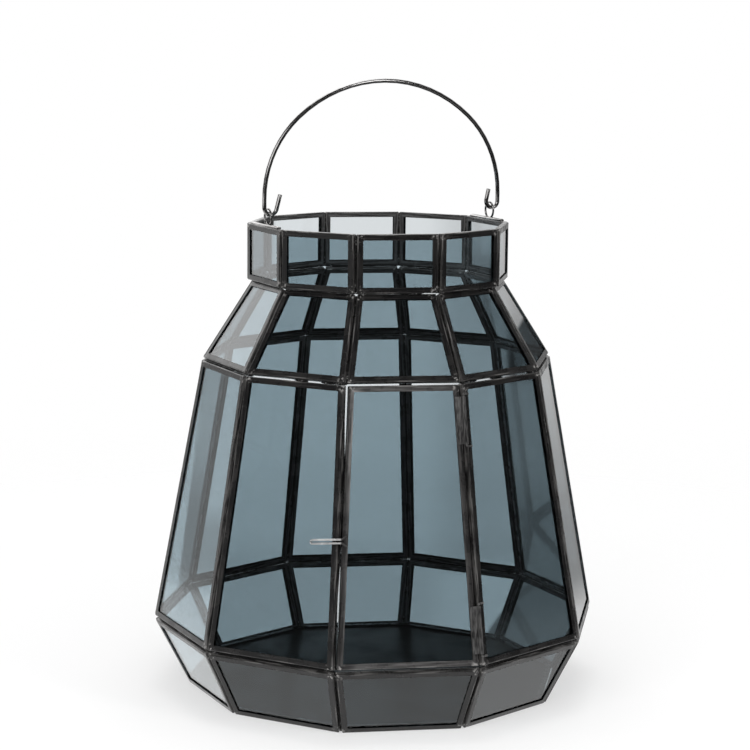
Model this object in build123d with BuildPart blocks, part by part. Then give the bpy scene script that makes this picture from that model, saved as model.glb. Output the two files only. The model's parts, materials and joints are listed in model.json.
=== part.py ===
from build123d import *
import os
from math import asin, atan2, cos, degrees, hypot, radians, sin, sqrt, tan

# Ten-sided candle lantern: framed glass panes in four bands, a hinged door, a floor and a bail handle.
# The door faces -Y, +Z is up, and the origin is on the ground under the lantern's middle.

# Sides, numbered anticlockwise from above, with the door on side 1
side_count = 10
door_side = 1
hanger_side = 4

# Rings where the bands meet: distance of the inner faces from the middle, and height above the ground
rim_height = 272.0
neck_height = 32.6
neck_apothem = 69.7
shoulder_ring_apothem = 94.7
shoulder_ring_height = 192.3
widest_ring_apothem = 121.6
widest_ring_height = 40.6
foot_apothem = 105.6

# Joint of neck and shoulder: the shoulder's top outer edge tucks under the neck's frames
shoulder_tuck = 0.65
neck_gap = 0.45

# Frames folded from sheet into a U that holds the glass
glass_thickness = 2.0
glass_face_clearance = 0.1
glass_edge_clearance = 0.3
frame_sheet = 0.6
frame_face = 3.5
frame_chamfer = 0.4
stile_clearance = 0.1
rail_clearance = 0.3

# Floor
floor_thickness = 1.0
floor_clearance = 0.3

# Solder beads in the grooves between frames
bead_length = 8.0
bead_end_margin = 3.0
bead_root = 0.9
bead_recess = 0.5
bead_fit = 0.03

# Wire is drawn with this many narrow flats in place of a full round
wire_sides = 10

# Door and its hinge
door_clearance = 0.5
hinge_wire = 1.2
hinge_running_clearance = 0.05
hinge_seat_gap = 0.05
hinge_leg_seat = 2.8
hinge_bend = 1.0
knuckle_wall = 0.55
knuckle_length = 26.0
knuckle_end_play = 0.3
knuckle_margin = 7.0
leaf_thickness = 0.5
leaf_seat = 3.0

# Door pull
pull_wire = 1.2
pull_height = 70.0
pull_reach = 17.0
pull_gap = 1.9
pull_splay = 2.6
pull_seat = 2.8
pull_bend = 1.2
pull_end_flat = 0.1
pull_tilt = 8.0
pull_seat_gap = 0.05

# Hanger strips and rings
strip_length = 37.0
strip_width = 2.6
strip_height = 1.3
strip_chamfer = 0.5
ring_wire = 1.2
ring_outer_diameter = 10.6
ring_slot_clearance = 0.15
ring_seat_gap = 0.15
ring_offset = 3.2

# Bail handle
handle_wire = 2.6
handle_lift = 1.5
handle_leg = 4.8
handle_side_radius = 60.5
handle_crown = 5.5
handle_slide = 1.5
hook_radius = 3.8
hook_lean_left = 15.0
hook_lean_right = -12.0
hook_tip_left = 8.6
hook_tip_right = 6.6
hook_tip_flat = 0.8

# Sizes that follow from the ones above
turn = 360.0 / side_count
half_tan = tan(radians(turn / 2))
groove_width = glass_thickness + 2 * glass_face_clearance
frame_depth = groove_width + 2 * frame_sheet
neck_bottom_height = rim_height - neck_height
all_sides = range(1, side_count + 1)
body_sides = [side for side in all_sides if side != door_side]


def azimuth(side):
    """Direction that a side faces, in degrees from +X."""
    return -90.0 + (side - door_side) * turn


def lean_to_outer_edge(run, rise):
    """Lean in degrees of a frame that starts with its inner face on a ring and ends with an outer edge."""
    return degrees(asin(frame_depth / hypot(run, rise)) - atan2(run, rise))


class Band:
    """A ring of equal frames, given by the lower and upper edges of their inner faces."""

    def __init__(self, lower_apothem, lower_height, upper_apothem, upper_height):
        self.lower_apothem = lower_apothem
        self.lower_height = lower_height
        self.run = upper_apothem - lower_apothem
        self.rise = upper_height - lower_height
        self.slant = hypot(self.run, self.rise)
        self.lower_half = lower_apothem * half_tan
        self.upper_half = upper_apothem * half_tan
        self.taper = (self.upper_half - self.lower_half) / self.slant

    def plane(self, side):
        """Inner face of a side: x along its lower edge, y up its slope, z outwards."""
        angle = radians(azimuth(side))
        outward = Vector(cos(angle), sin(angle), 0)
        along = Vector(-sin(angle), cos(angle), 0)
        up = outward * (self.run / self.slant) + Vector(0, 0, self.rise / self.slant)
        foot = outward * self.lower_apothem + Vector(0, 0, self.lower_height)
        return Plane(origin=foot, x_dir=along, z_dir=along.cross(up))

    def half_width(self, y, inset):
        """Half the width of a side at y up its slope, drawn in by inset at right angles to its edges."""
        return self.lower_half + self.taper * y - inset * hypot(1, self.taper)

    def outline(self, insets, more=0.0):
        """Corners of a side drawn in by its own insets (sides, bottom, top) and by more all round."""
        side_inset, low_inset, high_inset = insets
        low = low_inset + more
        high = self.slant - high_inset - more
        low_half = self.half_width(low, side_inset + more)
        high_half = self.half_width(high, side_inset + more)
        return [(-low_half, low), (low_half, low), (high_half, high), (-high_half, high)]

    def corner(self, side):
        """Lower and upper end of the corner line between a side and the next one."""
        face = self.plane(side)
        low = face.from_local_coords((self.lower_half, 0, 0))
        high = face.from_local_coords((self.upper_half, self.slant, 0))
        return Vector(low), Vector(high)


# Bands from the top: each one meets the next at its ring
shoulder_top_apothem = neck_apothem + shoulder_tuck
shoulder_top_height = neck_bottom_height - neck_gap
shoulder_lean = radians(lean_to_outer_edge(shoulder_top_apothem - shoulder_ring_apothem,
                                           shoulder_top_height - shoulder_ring_height))
base_lean = radians(lean_to_outer_edge(foot_apothem - widest_ring_apothem, widest_ring_height))

neck = Band(neck_apothem, neck_bottom_height, neck_apothem, rim_height)
shoulder = Band(shoulder_ring_apothem, shoulder_ring_height,
                shoulder_top_apothem - frame_depth * cos(shoulder_lean),
                shoulder_top_height - frame_depth * sin(shoulder_lean))
body = Band(widest_ring_apothem, widest_ring_height, shoulder_ring_apothem, shoulder_ring_height)
base = Band(foot_apothem - frame_depth * cos(base_lean), frame_depth * sin(base_lean),
            widest_ring_apothem, widest_ring_height)

neck_insets = (stile_clearance, 0.0, 0.0)
shoulder_insets = (stile_clearance, rail_clearance, 0.0)
body_insets = (stile_clearance, rail_clearance, rail_clearance)
base_insets = (stile_clearance, 0.0, rail_clearance)
door_insets = (door_clearance, door_clearance, door_clearance)


def save(piece, name):
    """Label a finished piece and write it."""
    piece.part.label = name
    export_step(piece.part, f"parts/{name}.step")


os.makedirs("parts", exist_ok=True)


# Frames: a trapezoid folded round the edge of its pane, with a window and a groove for the glass
def make_frame(band, side, insets):
    face = band.plane(side)
    with BuildPart() as frame:
        with BuildSketch(face):
            Polygon(*band.outline(insets), align=None)
        extrude(amount=frame_depth)
        layers = frame.edges().group_by(Axis(face.origin, face.z_dir))
        chamfer(layers[0] + layers[-1], frame_chamfer)
        with BuildSketch(face):
            Polygon(*band.outline(insets, frame_face), align=None)
        extrude(amount=frame_depth, mode=Mode.SUBTRACT)
        with BuildSketch(face.offset(frame_sheet)):
            Polygon(*band.outline(insets, frame_sheet), align=None)
        extrude(amount=groove_width, mode=Mode.SUBTRACT)
    return frame


# Glass: plates that lie in the grooves of their frames
def make_glass(band, glazed_sides, insets):
    seat = frame_sheet + glass_face_clearance
    with BuildPart() as glass:
        with BuildSketch(*[band.plane(side).offset(seat) for side in glazed_sides]):
            Polygon(*band.outline(insets, frame_sheet + glass_edge_clearance), align=None)
        extrude(amount=glass_thickness)
    return glass


for side in all_sides:
    save(make_frame(neck, side, neck_insets), f"neck_frame_{side}")
    save(make_frame(shoulder, side, shoulder_insets), f"shoulder_frame_{side}")
    save(make_frame(base, side, base_insets), f"base_frame_{side}")
for side in body_sides:
    save(make_frame(body, side, body_insets), f"body_frame_{side}")
save(make_frame(body, door_side, door_insets), "door_frame")

save(make_glass(neck, all_sides, neck_insets), "neck_glass")
save(make_glass(shoulder, all_sides, shoulder_insets), "shoulder_glass")
save(make_glass(body, body_sides, body_insets), "body_glass")
save(make_glass(body, [door_side], door_insets), "door_glass")
save(make_glass(base, all_sides, base_insets), "base_glass")

# Floor: a ten-sided frame that lies on the ground inside the base, with a dark plate in its groove
floor_apothem = base.lower_apothem - floor_clearance
floor_groove = floor_thickness + 2 * glass_face_clearance
floor_groove_height = (frame_depth - floor_groove) / 2


def ten_sided(apothem, mode=Mode.ADD):
    return RegularPolygon(apothem, side_count, major_radius=False, mode=mode)


with BuildPart() as floor_frame:
    with BuildSketch():
        ten_sided(floor_apothem)
        ten_sided(floor_apothem - frame_face, Mode.SUBTRACT)
    extrude(amount=frame_depth)
    with BuildSketch(Plane.XY.offset(floor_groove_height)):
        ten_sided(floor_apothem - frame_sheet)
    extrude(amount=floor_groove, mode=Mode.SUBTRACT)
save(floor_frame, "floor_frame")

with BuildPart() as floor_plate:
    with BuildSketch(Plane.XY.offset(floor_groove_height + glass_face_clearance)):
        ten_sided(floor_apothem - frame_sheet - glass_edge_clearance)
    extrude(amount=floor_thickness)
save(floor_plate, "floor_plate")


# Solder: short beads that fill the grooves between frames near the ends of each joint
def bead_planes(start, end, x_dir):
    """Planes across a joint at which its two beads begin, with x pointing out of the groove."""
    run = (end - start).normalized()
    origins = [start + run * bead_end_margin, end - run * (bead_end_margin + bead_length)]
    return [Plane(origin=origin, x_dir=x_dir, z_dir=run) for origin in origins]


def groove_beads(start, end, normal_a, normal_b, clearance):
    """Planes and section of the beads between two frames whose inner edges meet along a line."""
    middle = (normal_a + normal_b).normalized()
    half = radians(middle.get_angle(normal_a))
    root = bead_root
    top = frame_depth * cos(half) - bead_recess
    root_half, top_half = [x * tan(half) + (clearance - bead_fit) / cos(half) for x in (root, top)]
    section = [(root, -root_half), (top, -top_half), (top, top_half), (root, root_half)]
    return bead_planes(start, end, middle), section


def stile_beads(band, side):
    """Beads in the groove between a side's frame and the next one's."""
    start, end = band.corner(side)
    following = side % side_count + 1
    return groove_beads(start, end, band.plane(side).z_dir, band.plane(following).z_dir, stile_clearance)


def rail_beads(lower, upper, side):
    """Beads in the groove between two frames of one side, one above the other."""
    face = upper.plane(side)
    start, end = [Vector(face.from_local_coords((x, 0, 0))) for x in (-upper.lower_half, upper.lower_half)]
    return groove_beads(start, end, lower.plane(side).z_dir, face.z_dir, rail_clearance)


def neck_beads(side):
    """Beads under the neck's frame, in the corner that it makes with the shoulder's outer face."""
    face = neck.plane(side)
    start, end = [Vector(face.from_local_coords((x, 0, 0))) for x in (-neck.lower_half, neck.lower_half)]
    inner = shoulder_tuck + bead_fit
    foot_x = inner + bead_root * sin(shoulder_lean)
    foot_y = neck_gap + bead_root * cos(shoulder_lean)
    section = [(inner, bead_fit), (inner, neck_gap), (foot_x, foot_y), (frame_depth - bead_recess, bead_fit)]
    return bead_planes(start, end, face.z_dir), section


def make_solder(beads):
    with BuildPart() as solder:
        for planes, section in beads:
            with BuildSketch(*planes):
                Polygon(*section, align=None)
            extrude(amount=bead_length)
    return solder


soldered_corners = [side for side in all_sides if door_side not in (side, side % side_count + 1)]
neck_joints = [stile_beads(neck, side) for side in all_sides] + [neck_beads(side) for side in all_sides]
shoulder_joints = [stile_beads(shoulder, side) for side in all_sides]
shoulder_joints += [rail_beads(body, shoulder, side) for side in body_sides]
body_joints = [stile_beads(body, side) for side in soldered_corners]
body_joints += [rail_beads(base, body, side) for side in body_sides]
base_joints = [stile_beads(base, side) for side in all_sides]
save(make_solder(neck_joints), "solder_neck")
save(make_solder(shoulder_joints), "solder_shoulder")
save(make_solder(body_joints), "solder_body")
save(make_solder(base_joints), "solder_base")

# Hinge line: along the groove at the door's right edge, just outside the frames' faces
hinge_low, hinge_high = body.corner(door_side)
hinge_run = (hinge_high - hinge_low).normalized()
door_normal = body.plane(door_side).z_dir
next_normal = body.plane(door_side + 1).z_dir
hinge_bisector = (door_normal + next_normal).normalized()
hinge_half = radians(hinge_bisector.get_angle(door_normal))
hinge_height = hinge_wire / 2 + hinge_seat_gap
hinge_stand = (frame_depth + hinge_height) / cos(hinge_half)
hinge_side_step = hinge_stand * sin(hinge_half)
hinge_origin = hinge_low + hinge_bisector * hinge_stand
hinge_length = (hinge_high - hinge_low).length
knuckle_starts = {
    "lower": knuckle_margin,
    "upper": hinge_length - knuckle_margin - knuckle_length,
}

# Knuckles: sheet rolled round the pin, with a leaf soldered on the door's right stile
knuckle_radius = hinge_wire / 2 + hinge_running_clearance + knuckle_wall
leaf_length = hinge_side_step + door_clearance + leaf_seat
leaf_low = hinge_seat_gap - hinge_height
into_door = door_normal.cross(hinge_run)
for place, start in knuckle_starts.items():
    with BuildPart() as knuckle:
        with BuildSketch(Plane(origin=hinge_origin + hinge_run * start, x_dir=into_door, z_dir=hinge_run)):
            Circle(knuckle_radius)
            with Locations((0, leaf_low)):
                Rectangle(leaf_length, leaf_thickness, align=(Align.MIN, Align.MIN))
            Circle(hinge_wire / 2 + hinge_running_clearance, mode=Mode.SUBTRACT)
        extrude(amount=knuckle_length)
    save(knuckle, f"hinge_knuckle_{place}")

# Pins: wire staples whose legs are soldered on the stile of the next body frame
leg_length = hinge_side_step + stile_clearance + hinge_leg_seat
into_next = hinge_run.cross(next_normal)
pin_over = hinge_bend + knuckle_end_play
with BuildPart() as hinge_pins:
    for start in knuckle_starts.values():
        low = start - pin_over
        high = start + knuckle_length + pin_over
        with BuildLine(Plane(origin=hinge_origin, x_dir=into_next, z_dir=next_normal)) as staple:
            FilletPolyline((leg_length, low), (0, low), (0, high), (leg_length, high), radius=hinge_bend)
        with BuildSketch(Plane(origin=staple.line @ 0, z_dir=staple.line % 0)):
            RegularPolygon(hinge_wire / 2, wire_sides)
        sweep(path=staple.line)
save(hinge_pins, "hinge_pins")

# Pull: a wire hairpin whose splayed ends are soldered on the door's left stile
door_plane = body.plane(door_side)
pull_edge = -body.half_width(pull_height, door_clearance)
pull_stand = frame_depth + pull_wire / 2 + pull_seat_gap
pull_tip = pull_edge - pull_reach * cos(radians(pull_tilt))
pull_tip_stand = pull_stand - pull_reach * sin(radians(pull_tilt))
upper_leg = [
    (pull_edge + pull_seat, pull_height + pull_gap / 2 + pull_splay, pull_stand),
    (pull_edge, pull_height + pull_gap / 2, pull_stand),
    (pull_tip, pull_height + pull_gap / 2, pull_tip_stand),
]
lower_leg = [(x, 2 * pull_height - y, z) for x, y, z in reversed(upper_leg)]
end_bend = (pull_gap - pull_end_flat) / 2
with BuildPart() as door_pull:
    with BuildLine(door_plane) as hairpin:
        FilletPolyline(*upper_leg, *lower_leg, radius=[pull_bend, end_bend, end_bend, pull_bend])
    with BuildSketch(Plane(origin=hairpin.line @ 0, z_dir=hairpin.line % 0)):
        RegularPolygon(pull_wire / 2, wire_sides)
    sweep(path=hairpin.line)
save(door_pull, "door_pull")

# Hangers: strips on two opposite top rails, each slotted for a wire ring a little nearer the door
handle_angle = radians(azimuth(hanger_side))
handle_along = Vector(cos(handle_angle), sin(handle_angle), 0)
handle_across = handle_along.cross(Vector(0, 0, 1))
hanger_apothem = neck_apothem + frame_depth / 2
hanger_turns = {"right": azimuth(hanger_side), "left": azimuth(hanger_side) + 180}
ring_radius = (ring_outer_diameter - ring_wire) / 2
ring_height = rim_height + ring_seat_gap + ring_outer_diameter / 2
slot_depth = strip_height - ring_seat_gap
slot_half = sqrt(slot_depth * (ring_outer_diameter - slot_depth)) + ring_slot_clearance
for place, angle in hanger_turns.items():
    outward = Vector(cos(radians(angle)), sin(radians(angle)), 0)
    along = Vector(-outward.Y, outward.X, 0)
    strip_middle = outward * hanger_apothem + Vector(0, 0, rim_height)
    strip_plane = Plane(origin=strip_middle, x_dir=along, z_dir=(0, 0, 1))
    ring_middle = strip_middle + handle_across * ring_offset
    with BuildPart() as strip:
        with BuildSketch(strip_plane):
            Rectangle(strip_length, strip_width)
        extrude(amount=strip_height)
        chamfer(strip.faces().sort_by(Axis.Z)[-1].edges(), strip_chamfer)
        with BuildSketch(Plane(origin=ring_middle, x_dir=along, z_dir=(0, 0, 1))):
            Rectangle(2 * slot_half, ring_wire + 2 * ring_slot_clearance)
        extrude(amount=strip_height, mode=Mode.SUBTRACT)
    save(strip, f"hanger_strip_{place}")

    ring_middle += Vector(0, 0, ring_height - rim_height)
    with BuildPart() as ring:
        with BuildSketch(Plane(origin=ring_middle, x_dir=along, z_dir=(0, 0, 1))):
            with Locations((ring_radius, 0)):
                RegularPolygon(ring_wire / 2, wire_sides)
        revolve(axis=Axis(ring_middle, outward))
    save(ring, f"hanger_ring_{place}")

# Handle: one wire, arched over the rim, with a hook at each end that passes through its ring
handle_middle = handle_across * ring_offset + handle_along * handle_slide
handle_plane = Plane(origin=handle_middle, x_dir=handle_along, z_dir=handle_across)
hook_bottom = ring_height + handle_lift
hook_middle = hook_bottom + hook_radius
half_span = hanger_apothem + hook_radius
spring_height = hook_middle + handle_leg
side_middle = half_span - handle_side_radius
handle_rise = handle_side_radius + handle_crown
top_radius = (side_middle**2 + handle_rise**2 - handle_side_radius**2) / (2 * handle_crown)
top_middle = spring_height + handle_rise - top_radius
side_turn = degrees(atan2(spring_height - top_middle, side_middle))


def hook_tip(direction, lean, length):
    """Start and end of a hook's straight tip, on the side of the handle that direction gives."""
    angle = radians(lean)
    x = hanger_apothem - hook_radius * cos(angle)
    y = hook_middle - hook_radius * sin(angle)
    return (direction * x, y), (direction * (x - length * sin(angle)), y + length * cos(angle))


right_tip = hook_tip(1, hook_lean_right, hook_tip_right)
left_tip = hook_tip(-1, hook_lean_left, hook_tip_left)
with BuildPart() as handle:
    with BuildLine(handle_plane) as wire:
        Line(right_tip[1], right_tip[0])
        CenterArc((hanger_apothem, hook_middle), hook_radius, 180 + hook_lean_right, 180 - hook_lean_right)
        Line((half_span, hook_middle), (half_span, spring_height))
        CenterArc((side_middle, spring_height), handle_side_radius, 0, side_turn)
        CenterArc((0, top_middle), top_radius, side_turn, 180 - 2 * side_turn)
        CenterArc((-side_middle, spring_height), handle_side_radius, 180 - side_turn, side_turn)
        Line((-half_span, spring_height), (-half_span, hook_middle))
        CenterArc((-hanger_apothem, hook_middle), hook_radius, 180, 180 - hook_lean_left)
        Line(left_tip[0], left_tip[1])
    with BuildSketch(Plane(origin=wire.line @ 0, z_dir=wire.line % 0)):
        RegularPolygon(handle_wire / 2, wire_sides)
    sweep(path=wire.line)
    right_end = handle.faces().sort_by_distance(wire.line @ 0)[0]
    chamfer(right_end.edges(), (handle_wire - hook_tip_flat) / 2)
save(handle, "handle")
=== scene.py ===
import json
from math import atan2, cos, pi, radians, sin

import bmesh
import bpy
from mathutils import Matrix, Vector, noise


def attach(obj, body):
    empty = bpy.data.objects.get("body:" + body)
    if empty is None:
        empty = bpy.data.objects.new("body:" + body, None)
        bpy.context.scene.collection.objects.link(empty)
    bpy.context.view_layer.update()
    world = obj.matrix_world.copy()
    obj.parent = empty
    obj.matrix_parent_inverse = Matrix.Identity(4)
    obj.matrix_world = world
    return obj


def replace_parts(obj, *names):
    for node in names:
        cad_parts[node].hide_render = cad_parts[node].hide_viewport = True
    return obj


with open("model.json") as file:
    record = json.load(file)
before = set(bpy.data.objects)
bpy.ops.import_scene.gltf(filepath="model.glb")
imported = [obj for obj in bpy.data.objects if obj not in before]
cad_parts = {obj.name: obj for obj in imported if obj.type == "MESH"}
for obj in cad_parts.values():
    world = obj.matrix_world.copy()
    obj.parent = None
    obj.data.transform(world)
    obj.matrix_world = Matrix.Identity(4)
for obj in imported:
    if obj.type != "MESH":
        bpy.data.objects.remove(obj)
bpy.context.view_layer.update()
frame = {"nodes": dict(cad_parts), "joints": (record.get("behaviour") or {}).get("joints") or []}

# Pane frames
# Each pane has a narrow metal strip folded round its edge into a U and soldered at its mitred corners.
# The strip is blackened to a satin finish and streaked along its length. Its folds are light, partly bare
# from wear and partly a painted highlight line, and near the corners it carries smears of bare metal shown as
# painted glints.
# Its inner face is painted greyer, a painted light that stands in for the light reaching the lantern's
# inside.
outer_flat = 0.0031
inner_flat = 0.0028
lip_thickness = 0.0006
groove_depth = 0.0027
worn_border = 0.0002
fold_ease = 0.00025
fold_angle = radians(34)
long_run = 0.012
run_cuts = 7
hand_waver = 0.00005
waver_scale = 45.0
waver_seed = 1
weld_distance = 1e-6
flat_angle = radians(2)
smooth_angle = radians(38)
least_inwards = 0.001
frame_black = (0.007, 0.0069, 0.0072)
frame_stain = (0.013, 0.0122, 0.0118)
frame_streak = (0.034, 0.0328, 0.0323)
# The door's painted sheen: a lighter grey standing in for light scattered off its satin face
frame_sheen_grey = (0.25, 0.244, 0.241)
# Bare metal: the worn folds, which are partly a painted highlight line, and the painted glints near the
# corners
frame_bare_and_highlight = (0.36, 0.35, 0.34)
# The inner face's two colours are painted light: lighter than the outer black, for the light reaching the
# inside
inside_lit_dark = (0.035, 0.034, 0.034)
inside_lit_grey = (0.12, 0.118, 0.117)


def piece_from(bm, name, body, material):
    """Turn a finished bmesh into a smooth-shaded piece that rides on a body."""
    mesh = bpy.data.meshes.new(name)
    bm.to_mesh(mesh)
    bm.free()
    mesh.polygons.foreach_set("use_smooth", [True] * len(mesh.polygons))
    mesh.set_sharp_from_angle(angle=smooth_angle)
    mesh.materials.append(material)
    piece = bpy.data.objects.new(name, mesh)
    bpy.context.scene.collection.objects.link(piece)
    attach(piece, body)
    return piece


def outer_block(node):
    """The block that a folded frame is cut from: the hull of its CAD solid, with whole faces."""
    bm = bmesh.new()
    for vertex in frame["nodes"][node].data.vertices:
        bm.verts.new(vertex.co)
    bmesh.ops.remove_doubles(bm, verts=bm.verts, dist=weld_distance)
    hull = bmesh.ops.convex_hull(bm, input=bm.verts)
    inside = {v for v in hull["geom_interior"] + hull["geom_unused"] if isinstance(v, bmesh.types.BMVert)}
    bmesh.ops.delete(bm, geom=list(inside), context="VERTS")
    bmesh.ops.dissolve_limit(bm, angle_limit=flat_angle, verts=bm.verts, edges=bm.edges)
    return bm


def folded_strip(node, lip, groove):
    """A frame folded from strip: two mitred faces, joined round the outside and open to the pane."""
    bm = outer_block(node)
    edge_layer = bm.verts.layers.float.new("edge")
    corner_layer = bm.verts.layers.float.new("corner_distance")
    inside_layer = bm.verts.layers.float.new("inside")
    bm.verts.layers.float.new("sheen_weight")
    strip_layer = bm.loops.layers.uv.new("strip")
    windows = sorted(bm.faces, key=lambda face: face.calc_area())[-2:]
    sides = [(edge.verts[0].co.copy(), edge.verts[1].co.copy()) for face in windows for edge in face.edges]
    outer_flats, inner_flats = [], []
    for face in windows:
        away = face.calc_center_median() * Vector((1.0, 1.0, 0.0))
        faces_in = face.normal.dot(away) < -least_inwards
        width = inner_flat if faces_in else outer_flat
        flats = bmesh.ops.inset_individual(bm, faces=[face], thickness=width, use_even_offset=True)["faces"]
        (inner_flats if faces_in else outer_flats).extend(flats)
    window_edges = [edge for face in windows for edge in face.edges]
    bmesh.ops.delete(bm, geom=windows, context="FACES_ONLY")
    walls = bmesh.ops.bridge_loops(bm, edges=window_edges)["faces"]
    bmesh.ops.recalc_face_normals(bm, faces=bm.faces)
    bmesh.ops.inset_region(
        bm, faces=walls, thickness=lip, depth=-groove, use_even_offset=True, use_boundary=True)
    for flats in (outer_flats, inner_flats):
        bmesh.ops.inset_region(
            bm, faces=flats, thickness=worn_border, use_even_offset=True, use_boundary=True)
    for face in inner_flats:
        for vertex in face.verts:
            vertex[inside_layer] = 1.0
    folds = [edge for edge in bm.edges if edge.is_manifold and edge.calc_face_angle() > fold_angle]
    eased = bmesh.ops.bevel(
        bm, geom=folds, offset=fold_ease, affect="EDGES", segments=2, profile=0.5, material=-1)
    for vertex in eased["verts"]:
        vertex[edge_layer] = 1.0
    longest = max(edge.calc_length() for edge in bm.edges)
    runs = [edge for edge in bm.edges if edge.calc_length() > min(long_run, longest / 3)]
    bmesh.ops.subdivide_edges(bm, edges=runs, cuts=run_cuts, use_grid_fill=True)
    for face in bm.faces:
        middle = face.calc_center_median()
        start, end = min(sides, key=lambda side: (middle - (side[0] + side[1]) / 2).cross(
            (side[1] - side[0]).normalized()).length)
        run = (end - start).normalized()
        for loop in face.loops:
            reach = loop.vert.co - start
            loop[strip_layer].uv = (reach.dot(run), (reach - run * reach.dot(run)).length)
    for vertex in bm.verts:
        vertex[corner_layer] = min((vertex.co - corner).length for side in sides for corner in side)
        vertex.co += hand_waver * noise.noise_vector(vertex.co * waver_scale)
    return bm


def graded(tree, value, start, end, low=0.0, high=1.0):
    """A value eased from low to high as another one goes from start to end."""
    node = tree.nodes.new("ShaderNodeMapRange")
    node.interpolation_type = "SMOOTHSTEP"
    for name, number in zip(("From Min", "From Max", "To Min", "To Max"), (start, end, low, high)):
        node.inputs[name].default_value = number
    tree.links.new(value, node.inputs["Value"])
    return node.outputs["Result"]


def computed(tree, operation, *values):
    """A sum, product or the like of values and plain numbers."""
    node = tree.nodes.new("ShaderNodeMath")
    node.operation = operation
    for entry, value in zip(node.inputs, values):
        if isinstance(value, float):
            entry.default_value = value
        else:
            tree.links.new(value, entry)
    return node.outputs["Value"]


def both(tree, first, second):
    """Two masks or shares multiplied, so that each holds the other back."""
    return computed(tree, "MULTIPLY", first, second)


def tinted(tree, factor, first, second):
    """A colour that goes from the first one to the second by a factor."""
    node = tree.nodes.new("ShaderNodeMix")
    node.data_type = "RGBA"
    tree.links.new(factor, node.inputs["Factor"])
    for entry, colour in ((node.inputs["A"], first), (node.inputs["B"], second)):
        if isinstance(colour, tuple):
            entry.default_value = (*colour, 1.0)
        else:
            tree.links.new(colour, entry)
    return node.outputs["Result"]


def clouds(tree, where, size, detail, rough=0.5):
    """Noise that varies from place to place."""
    node = tree.nodes.new("ShaderNodeTexNoise")
    node.inputs["Detail"].default_value = detail
    node.inputs["Roughness"].default_value = rough
    tree.links.new(where, node.inputs["Vector"])
    if isinstance(size, float):
        node.inputs["Scale"].default_value = size
    else:
        tree.links.new(size, node.inputs["Scale"])
    return node.outputs["Fac"]


def attribute(tree, name):
    """A value that the mesh carries."""
    node = tree.nodes.new("ShaderNodeAttribute")
    node.attribute_name = name
    return node.outputs["Fac"]


stain_span = (0.36, 0.70)
speck_span = (0.42, 0.66)
speck_height = 0.4
patina_depth = 0.0003


def metal_finish_group():
    """Patina shared by all the metal: masks of broad stains and fine specks, and a height for both."""
    group = bpy.data.node_groups.new("metal_finish", "ShaderNodeTree")
    for name in ("Stain Size", "Speck Size", "Upright Size"):
        group.interface.new_socket(name, in_out="INPUT", socket_type="NodeSocketFloat")
    for name in ("Stains", "Specks", "Height"):
        group.interface.new_socket(name, in_out="OUTPUT", socket_type="NodeSocketFloat")
    entry = group.nodes.new("NodeGroupInput")
    leave = group.nodes.new("NodeGroupOutput")
    stretch = group.nodes.new("ShaderNodeCombineXYZ")
    stretch.inputs["X"].default_value = 1.0
    stretch.inputs["Y"].default_value = 1.0
    group.links.new(entry.outputs["Upright Size"], stretch.inputs["Z"])
    stretched = group.nodes.new("ShaderNodeVectorMath")
    stretched.operation = "MULTIPLY"
    group.links.new(group.nodes.new("ShaderNodeTexCoord").outputs["Object"], stretched.inputs[0])
    group.links.new(stretch.outputs["Vector"], stretched.inputs[1])
    where = stretched.outputs["Vector"]
    stains = clouds(group, where, entry.outputs["Stain Size"], detail=4.0, rough=0.55)
    specks = clouds(group, where, entry.outputs["Speck Size"], detail=3.0)
    group.links.new(graded(group, stains, *stain_span), leave.inputs["Stains"])
    group.links.new(graded(group, specks, *speck_span), leave.inputs["Specks"])
    group.links.new(computed(group, "MULTIPLY_ADD", specks, speck_height, stains), leave.inputs["Height"])
    return group


metal_finish = metal_finish_group()


def metal(name, dark, stained, rough, stain_size, speck_size, bump, metallic, upright_size=1.0):
    """A metal with a patina: the material, its patina node and its colour, for pieces that add wear."""
    material = bpy.data.materials.new(name)
    material.use_nodes = True
    tree = material.node_tree
    surface = tree.nodes["Principled BSDF"]
    surface.inputs["Metallic"].default_value = metallic
    finish = tree.nodes.new("ShaderNodeGroup")
    finish.node_tree = metal_finish
    finish.inputs["Stain Size"].default_value = stain_size
    finish.inputs["Speck Size"].default_value = speck_size
    finish.inputs["Upright Size"].default_value = upright_size
    colour = tinted(tree, finish.outputs["Stains"], dark, stained)
    bumps = tree.nodes.new("ShaderNodeBump")
    bumps.inputs["Strength"].default_value = bump
    bumps.inputs["Distance"].default_value = patina_depth
    tree.links.new(colour, surface.inputs["Base Color"])
    tree.links.new(graded(tree, finish.outputs["Stains"], 0.0, 1.0, *rough), surface.inputs["Roughness"])
    tree.links.new(finish.outputs["Height"], bumps.inputs["Height"])
    tree.links.new(bumps.outputs["Normal"], surface.inputs["Normal"])
    return material, finish, colour


def recolour(material, colour):
    """Give a metal's surface another colour."""
    tree = material.node_tree
    tree.links.new(colour, tree.nodes["Principled BSDF"].inputs["Base Color"])


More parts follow.
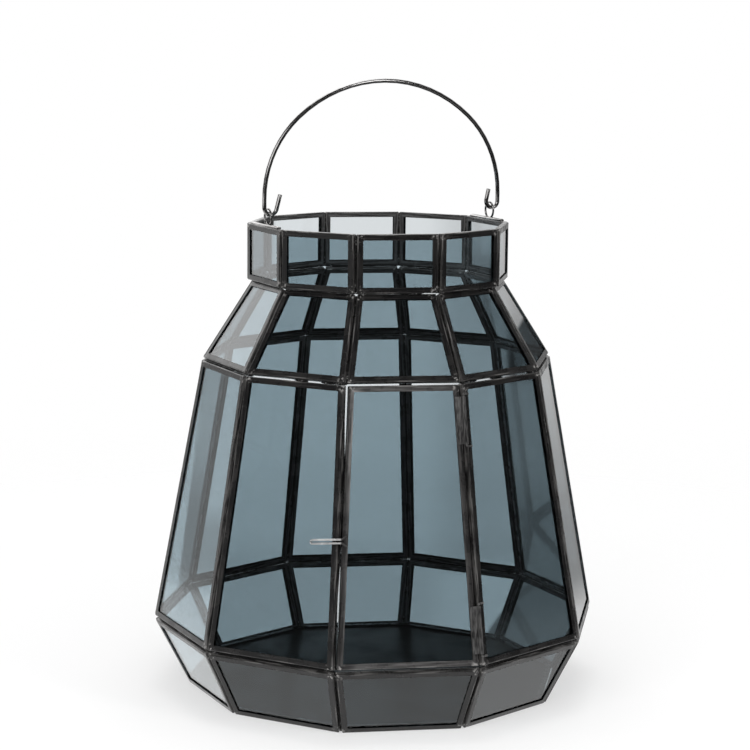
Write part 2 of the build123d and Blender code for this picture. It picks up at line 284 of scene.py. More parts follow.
# The grain runs along the strip. Streaks, the painted sheen on the door and the light folds, partly wear and
# partly painted highlight, each begin at a share of it, and painted glints on smears of bare metal lie within
# a few millimetres of the corners on the outer face
frame_shine = 0.35
grain_stretch = (0.06, 1.0, 1.0)
grain_size = 900.0
streak_grain = (0.48, 0.75)
inside_grain = (0.35, 0.65)
sheen_grain = (0.35, 0.62)
sheen_share = (0.35, 1.0)
fold_grain = (0.42, 0.68)
fold_share = (0.02, 0.32)
glint_power = 3.0
smear_reach = (0.005, 0.002)
smear_share = (0.0, 0.7)
blackened_frame, frame_finish, frame_colour = metal(
    "blackened_frame", frame_black, frame_stain, rough=(0.24, 0.36), stain_size=90.0, speck_size=600.0,
    bump=0.05, metallic=0.0)
tree = blackened_frame.node_tree
tree.nodes["Principled BSDF"].inputs["Specular IOR Level"].default_value = frame_shine
lengthwise = tree.nodes.new("ShaderNodeVectorMath")
lengthwise.operation = "MULTIPLY"
lengthwise.inputs[1].default_value = grain_stretch
strip_place = tree.nodes.new("ShaderNodeUVMap")
strip_place.uv_map = "strip"
tree.links.new(strip_place.outputs["UV"], lengthwise.inputs[0])
grain = clouds(tree, lengthwise.outputs["Vector"], grain_size, detail=3.0)
streaked = tinted(tree, graded(tree, grain, *streak_grain), frame_colour, frame_streak)
# Painted light: the inner face is painted greyer than the outer black, for the light reaching the lantern's
# inside
inside_painted_light = tinted(tree, graded(tree, grain, *inside_grain), inside_lit_dark, inside_lit_grey)
streaked = tinted(tree, attribute(tree, "inside"), streaked, inside_painted_light)
# Painted sheen: the door's frame is lightened to grey, standing in for light scattered off its satin face
painted_sheen = both(tree, attribute(tree, "sheen_weight"), graded(tree, grain, *sheen_grain, *sheen_share))
# The folds are light, partly bare metal from wear and partly a painted highlight line
fold_wear_and_highlight = both(tree, attribute(tree, "edge"), graded(tree, grain, *fold_grain, *fold_share))
# Painted glints: sparse bright specks on the smears of bare metal near the outer corners
glints = computed(tree, "POWER", frame_finish.outputs["Specks"], glint_power)
by_corner = graded(tree, attribute(tree, "corner_distance"), *smear_reach, *smear_share)
on_outside = graded(tree, attribute(tree, "inside"), 0.0, 0.5, 1.0, 0.0)
smear_glints = both(tree, both(tree, by_corner, glints), on_outside)
frame_wear_and_highlight = computed(tree, "MAXIMUM", fold_wear_and_highlight, smear_glints)
sheen_grey = tinted(tree, painted_sheen, streaked, frame_sheen_grey)
recolour(blackened_frame, tinted(tree, frame_wear_and_highlight, sheen_grey, frame_bare_and_highlight))

# The fixed frames beside the door bend a little behind its edges, so that light shows through the gap only in
# places. The bends are listed from the bottom up, and the directions of the corners are in degrees
side_angle = 36
door_right = -72
door_left = door_right - side_angle
gap_edge = 0.0007
gap_inwards = 0.6
left_bends = (0.00075, 0.0004, 0.0, 0.0006, 0.00095, 0.00095, 0.00095, 0.0008, 0.0, 0.0)
right_bends = (0.00075, 0.00075)
door_gaps = {
    "body_frame_10": (radians(door_left), 1, left_bends),
    "body_frame_2": (radians(door_right), -1, right_bends),
}


def close_gap(bm, azimuth, direction, amounts):
    """Bend the edge of a frame behind the door's edge by amounts, listed from the bottom up."""
    across_gap = Vector((-sin(azimuth), cos(azimuth), 0.0))
    outwards = Vector((cos(azimuth), sin(azimuth), 0.0))
    low = min(vertex.co.z for vertex in bm.verts)
    high = max(vertex.co.z for vertex in bm.verts)
    for vertex in bm.verts:
        if abs(vertex.co.dot(across_gap)) < gap_edge:
            place = (vertex.co.z - low) / (high - low) * (len(amounts) - 1)
            step = min(int(place), len(amounts) - 2)
            amount = amounts[step] + (amounts[step + 1] - amounts[step]) * (place - step)
            vertex.co += (across_gap * direction - outwards * gap_inwards) * amount


noise.seed_set(waver_seed)
for node in [node for node in frame["nodes"] if "_frame_" in node]:
    bm = folded_strip(node, lip_thickness, groove_depth)
    if node in door_gaps:
        close_gap(bm, *door_gaps[node])
    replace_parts(piece_from(bm, node + "_strip", "lantern", blackened_frame), node)

# Door frame
# The door's frame is folded from the same strip. It is painted a lighter grey, a painted sheen that stands in
# for light scattered off its satin face, lightest up its left stile above the pull and least beside the
# hinge. A black line is left along both upright edges.
# How much painted sheen each part of the door's frame gets
door_sheen = 0.32
hinge_side_sheen = 0.24
stile_sheen = 0.95
stile_width = 0.0045
stile_taper = 0.0087
pull_top = 0.115
sheen_fade = 0.03
black_line = 0.0006
bm = folded_strip("door_frame", lip_thickness, groove_depth)
sheen_layer = bm.verts.layers.float["sheen_weight"]
edge_layer = bm.verts.layers.float["edge"]
low, high = frame["nodes"]["door_frame"].bound_box[0], frame["nodes"]["door_frame"].bound_box[6]
for vertex in bm.verts:
    rise = (vertex.co.z - low[2]) / (high[2] - low[2])
    left_edge = low[0] + rise * stile_taper
    right_edge = high[0] - rise * stile_taper
    above = min(1.0, max(0.0, (vertex.co.z - pull_top) / sheen_fade))
    on_stile = vertex.co.x < left_edge + stile_width
    by_hinge = vertex.co.x > right_edge - stile_width
    plain = hinge_side_sheen if by_hinge else door_sheen
    vertex[sheen_layer] = plain + (stile_sheen - plain) * above * on_stile
    if vertex.co.x < left_edge + black_line or vertex.co.x > right_edge - black_line:
        vertex[sheen_layer] = vertex[edge_layer] = 0.0
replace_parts(piece_from(bm, "door_frame_strip", "door", blackened_frame), "door_frame")

# Floor
# A ten-sided frame of the same strip lies on the ground inside the base and holds a black metal plate.
# The plate is satin black and shows only faint reflections of the panes around it.
floor_lip = 0.0011
floor_shine = 0.09
floor_black = (0.006, 0.0062, 0.0065)
floor_dust = (0.012, 0.012, 0.012)
bm = folded_strip("floor_frame", floor_lip, groove_depth)
for vertex in bm.verts:
    vertex.co.z = max(vertex.co.z, 0.0)
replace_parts(piece_from(bm, "floor_frame_strip", "lantern", blackened_frame),
            "floor_frame")
floor_metal, _, _ = metal(
    "floor_plate", floor_black, floor_dust, rough=(0.3, 0.42), stain_size=30.0, speck_size=500.0,
    bump=0.02, metallic=0.0)
floor_metal.node_tree.nodes["Principled BSDF"].inputs["Specular IOR Level"].default_value = floor_shine
frame["nodes"]["floor_plate"].data.materials.clear()
frame["nodes"]["floor_plate"].data.materials.append(floor_metal)

# Glass
# The panes are 2 mm sheet glass, tinted smoke-blue all through, cut to trapezoids and held in the frames.
# The sheet varies a little in depth of tint. Where the camera looks straight at a pane's inner face, that
# face is painted paler, a painted brightening that stands in for the light seen through a single pane.
glass_tint = (0.465, 0.54, 0.575)
glass_deep = (0.435, 0.515, 0.553)
# The pale tint is painted light, used only on inner faces that the camera sees first
glass_painted_pale = (0.95, 0.895, 0.88)
smear_span = (0.5, 0.8)
smear_rough = (0.0, 0.02)
smoked_glass = bpy.data.materials.new("smoked_glass")
smoked_glass.use_nodes = True
tree = smoked_glass.node_tree
pane = tree.nodes["Principled BSDF"]
pane.inputs["Transmission Weight"].default_value = 1.0
pane.inputs["IOR"].default_value = 1.5
place = tree.nodes.new("ShaderNodeTexCoord")
inwards = tree.nodes.new("ShaderNodeVectorMath")
inwards.operation = "DOT_PRODUCT"
level = tree.nodes.new("ShaderNodeVectorMath")
level.operation = "MULTIPLY"
level.inputs[1].default_value = (1.0, 1.0, 0.0)
tree.links.new(place.outputs["Object"], level.inputs[0])
tree.links.new(level.outputs["Vector"], inwards.inputs[0])
tree.links.new(place.outputs["Normal"], inwards.inputs[1])
# Painted brightening: inner faces that the camera sees first get the paler tint
seen_first = tree.nodes.new("ShaderNodeLightPath").outputs["Is Camera Ray"]
painted_pale_inside = both(tree, computed(tree, "LESS_THAN", inwards.outputs["Value"], 0.0), seen_first)
depth = clouds(tree, place.outputs["Object"], size=7.0, detail=2.0)
smear = clouds(tree, place.outputs["Object"], size=60.0, detail=4.0)
tree.links.new(tinted(tree, painted_pale_inside, tinted(tree, depth, glass_tint, glass_deep), glass_painted_pale),
               pane.inputs["Base Color"])
tree.links.new(graded(tree, smear, *smear_span, *smear_rough), pane.inputs["Roughness"])
for node in ("neck_glass", "shoulder_glass", "body_glass", "door_glass", "base_glass"):
    frame["nodes"][node].data.materials.clear()
    frame["nodes"][node].data.materials.append(smoked_glass)

# Solder
# Tin solder is run along the grooves between the frames, except round the door, and stops short in places.
# It is lumpy and blackened along the runs. Near the corners, where it was dabbed on, bare tin shows as
# painted glints.
seam_radius = 0.0005
seam_facets = 8
seam_lumps = 0.0001
lump_scale = 260.0
seam_step = 0.0016
seam_stand = 0.0006
seam_end_taper = 0.6
dab_distance = 0.004
dab_reach = 0.003
solder_shine = 0.25
solder_black = (0.003, 0.003, 0.003)
solder_grey = (0.008, 0.0078, 0.0076)
# The tin colour shows only as painted glints in the dabs near the corners
solder_tin_glint = (0.34, 0.335, 0.33)
# Inner faces of each band: how far from the middle and how high, at the lower and the upper edge
band_edges = {
    "neck": ((0.0697, 0.2394), (0.0697, 0.2716)),
    "shoulder": ((0.0947, 0.1923), (0.0674, 0.2372)),
    "body": ((0.1216, 0.0406), (0.0947, 0.1923)),
    "base": ((0.1025, 0.0015), (0.1216, 0.0406)),
}
# Grooves between one band and the next: how far from the middle and how high
rail_seams = {
    "neck": (0.0704, 0.2392),
    "shoulder": (0.0956, 0.1927),
    "body": (0.1226, 0.0404),
}
# Parts of a groove's length that hold solder, where it isn't filled from end to end
rail_runs = {
    ("neck", 1): ((0.0, 0.83), (0.97, 1.0)),
    ("shoulder", 10): ((0.0, 0.06), (0.48, 0.62), (0.75, 1.0)),
    ("shoulder", 1): (),
    ("shoulder", 2): ((0.0, 0.22), (0.39, 0.53), (0.88, 1.0)),
    ("body", 1): (),
}


def corner_point(apothem, height, corner):
    """A point on the corner between a side and the next one, the door being side 1."""
    angle = radians(door_right + side_angle * (corner - 1))
    reach = apothem / cos(radians(side_angle / 2))
    return Vector((reach * cos(angle), reach * sin(angle), height))


def run_solder(bm, start, end):
    """Lay a lumpy run of solder between two points, with its tin dabs, where painted glints go, a little way
    from the ends.
    """
    length = (end - start).length
    along_run = (end - start).normalized()
    run = bmesh.new()
    tin_layer = run.verts.layers.float.new("tin_glint")
    turn = along_run.to_track_quat("Z", "Y").to_matrix().to_4x4()
    bmesh.ops.create_cone(run, cap_ends=True, segments=seam_facets, radius1=seam_radius, radius2=seam_radius,
                          depth=length, matrix=Matrix.Translation((start + end) / 2) @ turn)
    sides = [edge for edge in run.edges if edge.calc_length() > 0.9 * length]
    bmesh.ops.subdivide_edges(run, edges=sides, cuts=max(2, int(length / seam_step)))
    for vertex in run.verts:
        along = (vertex.co - start).dot(along_run)
        spoke = (vertex.co - start - along * along_run).normalized()
        to_end = min(along, length - along)
        vertex[tin_layer] = max(0.0, 1.0 - abs(to_end - dab_distance) / dab_reach)
        vertex.co += spoke * seam_lumps * noise.noise(vertex.co * lump_scale)
        if to_end < seam_radius:
            vertex.co -= spoke * seam_radius * seam_end_taper
    lump = bpy.data.meshes.new("solder_run")
    run.to_mesh(lump)
    run.free()
    bm.from_mesh(lump)
    bpy.data.meshes.remove(lump)


solder, solder_finish, solder_colour = metal(
    "solder", solder_black, solder_grey, rough=(0.4, 0.55), stain_size=300.0, speck_size=900.0,
    bump=0.06, metallic=0.0)
tree = solder.node_tree
tree.nodes["Principled BSDF"].inputs["Specular IOR Level"].default_value = solder_shine
# Painted glints: sparse bright specks of tin in the dabs near the corners
glints = computed(tree, "POWER", solder_finish.outputs["Specks"], glint_power)
tin_glint = both(tree, attribute(tree, "tin_glint"), glints)
recolour(solder, tinted(tree, tin_glint, solder_colour, solder_tin_glint))
for band, (low, high) in band_edges.items():
    bm = bmesh.new()
    out = seam_stand * Vector((high[1] - low[1], 0.0, low[0] - high[0])).normalized()
    for corner in range(1, 11):
        if band == "body" and corner in (1, 10):
            continue
        run_solder(bm, corner_point(low[0] + out.x, low[1] + out.z, corner),
                   corner_point(high[0] + out.x, high[1] + out.z, corner))
    if band in rail_seams:
        for side in range(1, 11):
            start = corner_point(*rail_seams[band], side - 1)
            end = corner_point(*rail_seams[band], side)
            for first, last in rail_runs.get((band, side), ((0.0, 1.0),)):
                run_solder(bm, start.lerp(end, first), start.lerp(end, last))
    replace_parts(piece_from(bm, f"solder_{band}_seams", "lantern", solder), f"solder_{band}")

# Hinge
# Two knuckles rolled from tinned sheet are soldered on the door, and turn on wire staples fixed to the next
# frame. They are blackened with the frames, and grey tin shows through in streaks along the rolls.
hinge_wire = 0.0012
hinge_bend = 0.001
hinge_leg = 0.0042
knuckle_length = 0.026
knuckle_starts = (0.007, 0.12131)
pin_over = 0.0013
sheet_ease = 0.00014
sheet_flat_angle = radians(1)
sheet_fold_angle = radians(40)
wire_facets = 16
wire_end_ease = 0.12
bend_step = radians(5)
hinge_dark = (0.009, 0.0088, 0.009)
hinge_tin = (0.085, 0.083, 0.082)
pin_dark = (0.02, 0.0198, 0.0196)
pin_tin = (0.09, 0.088, 0.086)


def eased_copy(node, name, body, material):
    """A copy of a CAD solid with its sharp edges eased."""
    bm = bmesh.new()
    bm.from_mesh(frame["nodes"][node].data)
    bmesh.ops.remove_doubles(bm, verts=bm.verts, dist=weld_distance)
    bmesh.ops.dissolve_limit(bm, angle_limit=sheet_flat_angle, verts=bm.verts, edges=bm.edges)
    sharp = [edge for edge in bm.edges if edge.is_manifold and edge.calc_face_angle() > sheet_fold_angle]
    bmesh.ops.bevel(bm, geom=sharp, offset=sheet_ease, affect="EDGES", segments=2, profile=0.5, material=-1)
    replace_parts(piece_from(bm, name, body, material), node)


def bend_wire(bm, start, heading, thickness, moves):
    """Bend a round wire from straight stock: a move feeds a length, or bends (radius, angle, axis)."""
    turn = heading.to_track_quat("Z", "Y").to_matrix().to_4x4()
    ring = bmesh.ops.create_circle(bm, cap_ends=True, segments=wire_facets, radius=thickness / 2,
                                   matrix=Matrix.Translation(start) @ turn)["verts"]
    edges = list(ring[0].link_faces[0].edges)
    rims = list(edges)
    place, heading = start.copy(), heading.normalized()
    for move in moves:
        if isinstance(move, float):
            grown = bmesh.ops.extrude_edge_only(bm, edges=edges)["geom"]
            verts = [item for item in grown if isinstance(item, bmesh.types.BMVert)]
            bmesh.ops.translate(bm, verts=verts, vec=heading * move)
            edges = [item for item in grown if isinstance(item, bmesh.types.BMEdge)
                     and item.verts[0] in verts and item.verts[1] in verts]
            place += heading * move
        else:
            radius, angle, axis = move
            middle = place + radius * axis.cross(heading)
            steps = max(3, int(angle / bend_step))
            swept = bmesh.ops.spin(bm, geom=edges, cent=middle, axis=axis, angle=angle, steps=steps)
            edges = [item for item in swept["geom_last"] if isinstance(item, bmesh.types.BMEdge)]
            spin = Matrix.Rotation(angle, 3, axis)
            place = middle + spin @ (place - middle)
            heading = spin @ heading
    bmesh.ops.edgeloop_fill(bm, edges=edges)
    bmesh.ops.bevel(bm, geom=rims + edges, offset=thickness * wire_end_ease, affect="EDGES", segments=2,
                    profile=0.5, material=-1)
    bmesh.ops.recalc_face_normals(bm, faces=bm.faces)


hinge_metal, _, _ = metal(
    "hinge_metal", hinge_dark, hinge_tin, rough=(0.3, 0.45), stain_size=1100.0, speck_size=900.0,
    bump=0.05, metallic=0.0, upright_size=0.05)
pin_wire, _, _ = metal(
    "pin_wire", pin_dark, pin_tin, rough=(0.2, 0.35), stain_size=300.0, speck_size=1400.0,
    bump=0.06, metallic=0.0)
eased_copy("hinge_knuckle_lower", "hinge_knuckle_lower_roll", "door", hinge_metal)
eased_copy("hinge_knuckle_upper", "hinge_knuckle_upper_roll", "door", hinge_metal)
door_hinge = next(joint for joint in frame["joints"] if joint["name"] == "door_hinge")
hinge_origin = Vector(door_hinge["pos_m"])
hinge_run = Vector(door_hinge["axis"]).normalized()
(low_apothem, low_height), (high_apothem, high_height) = band_edges["body"]
body_slope = atan2(low_apothem - high_apothem, high_height - low_height)
next_side = radians(door_right + side_angle / 2)
next_level = Vector((cos(next_side), sin(next_side), 0.0))
next_normal = next_level * cos(body_slope) + Vector((0.0, 0.0, sin(body_slope)))
into_next = hinge_run.cross(next_normal)
staples = bmesh.new()
for start in knuckle_starts:
    foot = hinge_origin + hinge_run * (start - pin_over) + into_next * hinge_leg
    bend_wire(staples, foot, -into_next, hinge_wire, [
        hinge_leg - hinge_bend, (hinge_bend, pi / 2, -next_normal),
        knuckle_length + 2 * pin_over - 2 * hinge_bend, (hinge_bend, pi / 2, -next_normal),
        hinge_leg - hinge_bend])
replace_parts(piece_from(staples, "hinge_pin_staples", "lantern", pin_wire), "hinge_pins")

# Door pull
# A hairpin of tinned wire, its two splayed ends soldered on the door's left stile.
# It is handled most of all the pieces, so it is the brightest, but its ends are blackened with the frame.
pull_tin = (0.6, 0.6, 0.602)
pull_bright = (0.9, 0.9, 0.902)
pull_foot = (0.03, 0.0295, 0.029)
foot_start = 0.77
foot_end = 0.83
bright_wire, _, wire_colour = metal(
    "bright_wire", pull_tin, pull_bright, rough=(0.07, 0.14), stain_size=300.0, speck_size=1400.0,
    bump=0.03, metallic=1.0)
tree = bright_wire.node_tree
along = tree.nodes.new("ShaderNodeSeparateXYZ")
tree.links.new(tree.nodes.new("ShaderNodeTexCoord").outputs["Object"], along.inputs["Vector"])
low, high = frame["nodes"]["door_pull"].bound_box[0], frame["nodes"]["door_pull"].bound_box[6]
pull_length = high[0] - low[0]
feet = graded(tree, along.outputs["X"], low[0] + foot_start * pull_length, low[0] + foot_end * pull_length)
recolour(bright_wire, tinted(tree, feet, wire_colour, pull_foot))
tree.links.new(computed(tree, "SUBTRACT", 1.0, feet), tree.nodes["Principled BSDF"].inputs["Metallic"])
eased_copy("door_pull", "door_pull_hairpin", "door", bright_wire)

# Hangers
# A strip is soldered along each of two opposite top rails, with a wire ring standing in a slot in it.
# Strips and rings are dark and polished, like the handle.
ring_wire = 0.0012
ring_radius = 0.0047
ring_height = 0.27745
ring_reach = 0.0714
ring_offset = 0.0032
ring_facets = 14
ring_steps = 40
hanger_turn = radians(18)
wire_dark = (0.26, 0.255, 0.252)
wire_worn = (0.36, 0.353, 0.35)
blackened_wire, _, _ = metal(
    "blackened_wire", wire_dark, wire_worn, rough=(0.12, 0.2), stain_size=160.0, speck_size=900.0,
    bump=0.02, metallic=1.0)
handle_along = Vector((cos(hanger_turn), sin(hanger_turn), 0.0))
handle_across = Vector((sin(hanger_turn), -cos(hanger_turn), 0.0))
for side, direction in (("left", -1), ("right", 1)):
    eased_copy(f"hanger_strip_{side}", f"hanger_strip_{side}_bar", "lantern", blackened_wire)
    middle = (handle_along * ring_reach * direction + handle_across * ring_offset
              + Vector((0.0, 0.0, ring_height)))
    bm = bmesh.new()
    section = Matrix.Translation(middle + handle_across * ring_radius) @ Matrix.Rotation(hanger_turn, 4, "Z")
    circle = bmesh.ops.create_circle(bm, segments=ring_facets, radius=ring_wire / 2, matrix=section)["verts"]
    bmesh.ops.spin(bm, geom=circle + bm.edges[:], cent=middle, axis=handle_along, angle=2 * pi,
                   steps=ring_steps, use_merge=True)
    bmesh.ops.remove_doubles(bm, verts=bm.verts, dist=weld_distance)
    bmesh.ops.recalc_face_normals(bm, faces=bm.faces)
    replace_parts(piece_from(bm, f"hanger_ring_{side}_wire", "lantern", blackened_wire),
                f"hanger_ring_{side}")

# Handle
# One blackened wire, bent into a bail with a hook at each end that passes through its ring.
# The wire is dark and polished, and shows a line of light along its bends.
handle_wire = 0.00247
handle_slide = 0.0015
handle_leg = 0.0048
side_radius = 0.0605
handle_crown = 0.0055
hook_radius = 0.0038
hook_bottom = 0.27895
hook_lean_left = radians(15)
hook_lean_right = radians(-12)
hook_tip_left = 0.0086
hook_tip_right = 0.0066
hook_middle = hook_bottom + hook_radius
half_span = ring_reach + hook_radius
side_middle = half_span - side_radius
handle_rise = side_radius + handle_crown
top_radius = (side_middle**2 + handle_rise**2 - side_radius**2) / (2 * handle_crown)
side_turn = atan2(top_radius - handle_rise, side_middle)
tip_out = ring_reach - hook_radius * cos(hook_lean_right) - hook_tip_right * sin(hook_lean_right)
tip_up = hook_middle - hook_radius * sin(hook_lean_right) + hook_tip_right * cos(hook_lean_right)
tip = handle_along * (handle_slide + tip_out) + handle_across * ring_offset + Vector((0.0, 0.0, tip_up))
tip_heading = handle_along * sin(hook_lean_right) - Vector((0.0, 0.0, cos(hook_lean_right)))
bail = bmesh.new()
bend_wire(bail, tip, tip_heading, handle_wire, [
    hook_tip_right, (hook_radius, pi - hook_lean_right, handle_across),
    handle_leg, (side_radius, side_turn, handle_across),
    (top_radius, pi - 2 * side_turn, handle_across), (side_radius, side_turn, handle_across),
    handle_leg, (hook_radius, pi - hook_lean_left, handle_across), hook_tip_left])
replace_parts(piece_from(bail, "handle_bail", "handle", blackened_wire), "handle")

# Studio
# The lantern stands on a pale floor that fades into a white surround, with soft lamps to the left, to the
# right, in front and above. The panes mirror and show a surround of their own: dark in front, pale on the
# left, with a grey card behind on the right.
camera_turn = radians(8.34)
camera_pitch = radians(9.14)
camera_roll = radians(0.54)
camera_distance = 1.2672
camera_offset = -0.00142
camera_height = 0.3862
focal_pixels = 2188.8
frame_pixels = 750
sensor_width = 36.0
nearest_seen = 0.05
towards = Vector((sin(camera_turn), cos(camera_turn), 0.0))
across = Vector((cos(camera_turn), -sin(camera_turn), 0.0))

eye = bpy.data.cameras.new("camera")
eye.sensor_width = sensor_width
eye.lens = sensor_width * focal_pixels / frame_pixels
eye.clip_start = nearest_seen
camera = bpy.data.objects.new("camera", eye)
bpy.context.scene.collection.objects.link(camera)
stand = -camera_distance * towards + camera_offset * across + Vector((0.0, 0.0, camera_height))
camera.matrix_world = (
    Matrix.Translation(stand)
    @ Matrix.Rotation(-camera_turn, 4, "Z")
    @ Matrix.Rotation(pi / 2 - camera_pitch, 4, "X")
    @ Matrix.Rotation(camera_roll, 4, "Z")
)
bpy.context.scene.camera = camera


def heading(tree, vector, direction):
    """How far a vector goes along a direction."""
    node = tree.nodes.new("ShaderNodeVectorMath")
    node.operation = "DOT_PRODUCT"
    node.inputs[1].default_value = direction
    tree.links.new(vector, node.inputs[0])
    return node.outputs["Value"]


def either(tree, factor, first, second):
    """The first number where the factor is 0 and the second where it is 1."""
    node = tree.nodes.new("ShaderNodeMix")
    entries = (node.inputs["Factor"], node.inputs["A"], node.inputs["B"])
    for entry, value in zip(entries, (factor, first, second)):
        if isinstance(value, float):
            entry.default_value = value
        else:
            tree.links.new(value, entry)
    return node.outputs["Result"]


# The floor is painted white and fades out with distance. In the panes it looks pale near by and on the left
floor_size = 2.0
floor_white = (0.95, 0.95, 0.95, 1.0)
floor_rough = 0.9
floor_lightened = 0.5
floor_fade = (0.25, 0.9)
mirrored_reach = (0.18, 0.38)
mirrored_light = (1.17, 0.36)
mirrored_left = (-0.2, -0.3)
mirrored_left_light = 1.4
floor_mesh = bpy.data.meshes.new("studio_floor")
bm = bmesh.new()
bmesh.ops.create_grid(bm, x_segments=1, y_segments=1, size=floor_size)
bm.to_mesh(floor_mesh)
bm.free()
studio_floor = bpy.data.objects.new("studio_floor", floor_mesh)
bpy.context.scene.collection.objects.link(studio_floor)
floor_paint = bpy.data.materials.new("studio_floor")
floor_paint.use_nodes = True
floor_mesh.materials.append(floor_paint)
tree = floor_paint.node_tree
paint = tree.nodes["Principled BSDF"]
paint.inputs["Base Color"].default_value = floor_white
paint.inputs["Roughness"].default_value = floor_rough
paint.inputs["Specular IOR Level"].default_value = 0.0
place = tree.nodes.new("ShaderNodeTexCoord").outputs["Object"]
path = tree.nodes.new("ShaderNodeLightPath")
reach = tree.nodes.new("ShaderNodeVectorMath")
reach.operation = "LENGTH"
tree.links.new(place, reach.inputs[0])
mirrored = tree.nodes.new("ShaderNodeEmission")
near_and_right = graded(tree, reach.outputs["Value"], *mirrored_reach, *mirrored_light)
on_left = graded(tree, heading(tree, place, across), *mirrored_left)
tree.links.new(either(tree, on_left, near_and_right, mirrored_left_light), mirrored.inputs["Strength"])
white = tree.nodes.new("ShaderNodeEmission")
lightened = tree.nodes.new("ShaderNodeMixShader")
tree.links.new(both(tree, path.outputs["Is Camera Ray"], floor_lightened), lightened.inputs["Fac"])
tree.links.new(paint.outputs["BSDF"], lightened.inputs[1])
tree.links.new(white.outputs["Emission"], lightened.inputs[2])
clear = tree.nodes.new("ShaderNodeBsdfTransparent")
as_mirrored = tree.nodes.new("ShaderNodeMixShader")
faded = tree.nodes.new("ShaderNodeMixShader")
tree.links.new(path.outputs["Is Glossy Ray"], as_mirrored.inputs["Fac"])
tree.links.new(lightened.outputs["Shader"], as_mirrored.inputs[1])
tree.links.new(mirrored.outputs["Emission"], as_mirrored.inputs[2])
far_off = graded(tree, reach.outputs["Value"], *floor_fade)
out_of_sight = computed(tree, "MAXIMUM", far_off, path.outputs["Is Transmission Ray"])
tree.links.new(out_of_sight, faded.inputs["Fac"])
tree.links.new(as_mirrored.outputs["Shader"], faded.inputs[1])
tree.links.new(clear.outputs["BSDF"], faded.inputs[2])
tree.links.new(faded.outputs["Shader"], tree.nodes["Material Output"].inputs["Surface"])

world = bpy.data.worlds.new("studio")
bpy.context.scene.world = world
world.use_nodes = True
tree = world.node_tree
path = tree.nodes.new("ShaderNodeLightPath")
direction = tree.nodes.new("ShaderNodeTexCoord").outputs["Generated"]
ahead = heading(tree, direction, towards)
sideways = heading(tree, direction, across)
upwards = heading(tree, direction, (0.0, 0.0, 1.0))

# What the panes mirror: on the left a wall with a bright patch, on the right a wall over a dark gap and a
# pale ground, and in front the dark with a bright strip low on its left. Each pair of directions, ahead,
# sideways or upwards, is where one part goes over into the next, and each light is how bright a part is
unlit = 0.04
patch_side = (-0.767, -0.762)
patch_top = (-0.085, -0.092)
patch_light = 1.75
left_wall_rise = (0.0, 0.22)
left_wall_light = (0.55, 2.2)
ground_depth = (-0.09, -0.2)
ground_light = (0.8, 0.36)
gap_bottom = (-0.085, -0.07)
gap_top = (0.0262, 0.0285)
right_wall_rise = (0.028, 0.04)
right_wall_light = (0.65, 0.85)
right_to_left = (0.2, -0.1)
strip_bottom = (-0.092, -0.085)
strip_top = (-0.004, -0.012)
strip_side = (-0.15, -0.4)
strip_light = (unlit, 1.6)
front_to_walls = (0.25, 0.5)
left_patch = both(tree, graded(tree, sideways, *patch_side), graded(tree, upwards, *patch_top))
left_wall = either(tree, left_patch, graded(tree, upwards, *left_wall_rise, *left_wall_light), patch_light)
right_ground = graded(tree, upwards, *ground_depth, *ground_light)
right_gap = either(tree, graded(tree, upwards, *gap_bottom), right_ground, unlit)
right_upper = graded(tree, upwards, *right_wall_rise, *right_wall_light)
right_wall = either(tree, graded(tree, upwards, *gap_top), right_gap, right_upper)
walls = either(tree, graded(tree, sideways, *right_to_left), right_wall, left_wall)
low_strip = both(tree, graded(tree, upwards, *strip_bottom), graded(tree, upwards, *strip_top))
front = either(tree, low_strip, unlit, graded(tree, sideways, *strip_side, *strip_light))
mirrored_surround = either(tree, graded(tree, ahead, *front_to_walls), front, walls)

# What is seen through the panes on the right: the white surround, greyer low down, and the leaning edge of
# the card, which is darker low down and darkest in its shoulder corner
card_slope = 0.088
card_shift = 0.015
card_low = (-0.247, -0.282)
card_low_shift = (0.0, 0.02)
card_high = (-0.163, -0.108)
card_high_shift = (0.0, 0.0108)
card_edge = (0.058, 0.0605)
card_depth = (-0.19, -0.225)
card_light = (0.41, 0.235)
card_neck = (-0.118, -0.09)
card_neck_share = (1.0, 2.0)
corner_side = (0.057, 0.064)
corner_bottom = (-0.165, -0.155)
corner_share = (1.0, 0.12)
low_right_depth = (-0.235, -0.25)
low_right_light = (0.81, 1.17)
low_right_side = (0.02, 0.04)
surround_depth = (-0.19, -0.21)
surround_light = (1.12, 1.04)
surround_foot = (-0.225, -0.25)
surround_foot_share = (1.0, 0.82)
card_lean = computed(tree, "MULTIPLY_ADD", upwards, card_slope, card_shift)
card_lean = computed(tree, "ADD", card_lean, graded(tree, upwards, *card_low, *card_low_shift))
card_lean = computed(tree, "ADD", card_lean, graded(tree, upwards, *card_high, *card_high_shift))
card = graded(tree, computed(tree, "ADD", sideways, card_lean), *card_edge)
card_shade = both(tree, graded(tree, upwards, *card_depth, *card_light),
                  graded(tree, upwards, *card_neck, *card_neck_share))
shoulder_corner = both(tree, graded(tree, sideways, *corner_side), graded(tree, upwards, *corner_bottom))
card_shade = both(tree, card_shade, graded(tree, shoulder_corner, 0.0, 1.0, *corner_share))
low_right = graded(tree, upwards, *low_right_depth, *low_right_light)
surround = both(tree, either(tree, graded(tree, sideways, *low_right_side), 1.0, low_right),
                graded(tree, upwards, *surround_depth, *surround_light))
surround = both(tree, surround, graded(tree, upwards, *surround_foot, *surround_foot_share))
behind = either(tree, card, surround, card_shade)

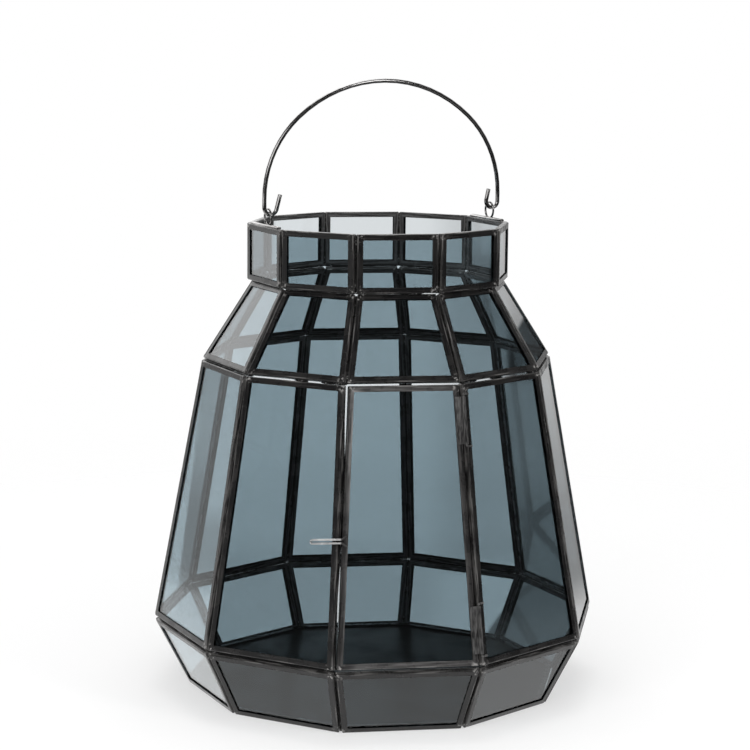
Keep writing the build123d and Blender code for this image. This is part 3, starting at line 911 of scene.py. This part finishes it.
# What is seen through the panes on the left: three leaning stretches, each brighter than the surround and
# dimmer low down, and a dimmer patch behind the neck
left_slope = -0.11
low_left_edge = (-0.256, -0.243)
near_edge = (-0.0435, -0.0455)
near_depth = (-0.215, -0.23)
near_light = 1.25
near_dimming = -0.5
far_edge = (-0.053, -0.0546)
far_depth = (-0.185, -0.225)
far_light = 1.3
far_dimming = -0.8
left_strip_edge = (-0.0598, -0.0612)
left_strip_depth = (-0.25, -0.272)
left_strip_light = (2.1, 1.1)
neck_bottom = (-0.12, -0.115)
neck_side = (-0.045, -0.048)
neck_light = 0.78
left_lean = computed(tree, "MULTIPLY_ADD", upwards, left_slope, sideways)
low_left = graded(tree, upwards, *low_left_edge)
near_low = both(tree, low_left, graded(tree, upwards, *near_depth))
left_near = computed(tree, "MULTIPLY_ADD", near_low, near_dimming, near_light)
far_low = both(tree, low_left, graded(tree, upwards, *far_depth))
left_far = computed(tree, "MULTIPLY_ADD", far_low, far_dimming, far_light)
behind = either(tree, graded(tree, left_lean, *near_edge), behind, left_near)
behind = either(tree, graded(tree, left_lean, *far_edge), behind, left_far)
left_strip = graded(tree, upwards, *left_strip_depth, *left_strip_light)
behind = either(tree, graded(tree, left_lean, *left_strip_edge), behind, left_strip)
neck_left = both(tree, graded(tree, upwards, *neck_bottom), graded(tree, sideways, *neck_side))
behind = either(tree, neck_left, behind, neck_light)

# What is seen through the panes from the lantern's other sides: a pale band, a little below level
band_turn = (-0.17, -0.1)
band_top_front = (-0.115, -0.135)
band_top_sides = (-0.02, -0.04)
band_bottom = (-0.4, -0.36)
band_light = (0.07, 0.7)
sides_to_behind = (0.2, 0.5)
band_top = either(tree, graded(tree, ahead, *band_turn), graded(tree, upwards, *band_top_front),
                  graded(tree, upwards, *band_top_sides))
level_band = both(tree, band_top, graded(tree, upwards, *band_bottom))
other_sides = graded(tree, level_band, 0.0, 1.0, *band_light)
through_glass = either(tree, graded(tree, ahead, *sides_to_behind), other_sides, behind)

fill_light = 0.76
unseen = either(tree, path.outputs["Is Glossy Ray"], fill_light, mirrored_surround)
indirect = either(tree, path.outputs["Is Transmission Ray"], unseen, through_glass)
strength = either(tree, path.outputs["Is Camera Ray"], indirect, 1.0)
tree.links.new(strength, tree.nodes["Background"].inputs["Strength"])
tree.nodes["Background"].inputs["Color"].default_value = (1.0, 1.0, 1.0, 1.0)

lamp_aim = Vector((0.0, 0.0, 0.15))


def softbox(name, turn, height, distance, width, tall, power):
    """A lamp at a turn from the camera's side and a height in degrees, pointed at the lantern."""
    lamp = bpy.data.lights.new(name, "AREA")
    lamp.shape = "RECTANGLE"
    lamp.size = width
    lamp.size_y = tall
    lamp.energy = power
    holder = bpy.data.objects.new(name, lamp)
    bpy.context.scene.collection.objects.link(holder)
    level = sin(radians(turn)) * across - cos(radians(turn)) * towards
    out = cos(radians(height)) * level + Vector((0.0, 0.0, sin(radians(height))))
    holder.location = out * distance + lamp_aim
    holder.rotation_euler = (-out).to_track_quat("-Z", "Y").to_euler()


softbox("lamp_left", turn=-30, height=32, distance=1.5, width=0.9, tall=0.8, power=5.5)
softbox("lamp_right", turn=53, height=30, distance=1.5, width=0.25, tall=0.7, power=3.0)
softbox("lamp_front", turn=0, height=31, distance=1.5, width=0.45, tall=0.7, power=1.2)
softbox("lamp_top", turn=180, height=80, distance=1.3, width=0.8, tall=0.8, power=5.0)

bpy.context.scene.view_settings.view_transform = "Standard"
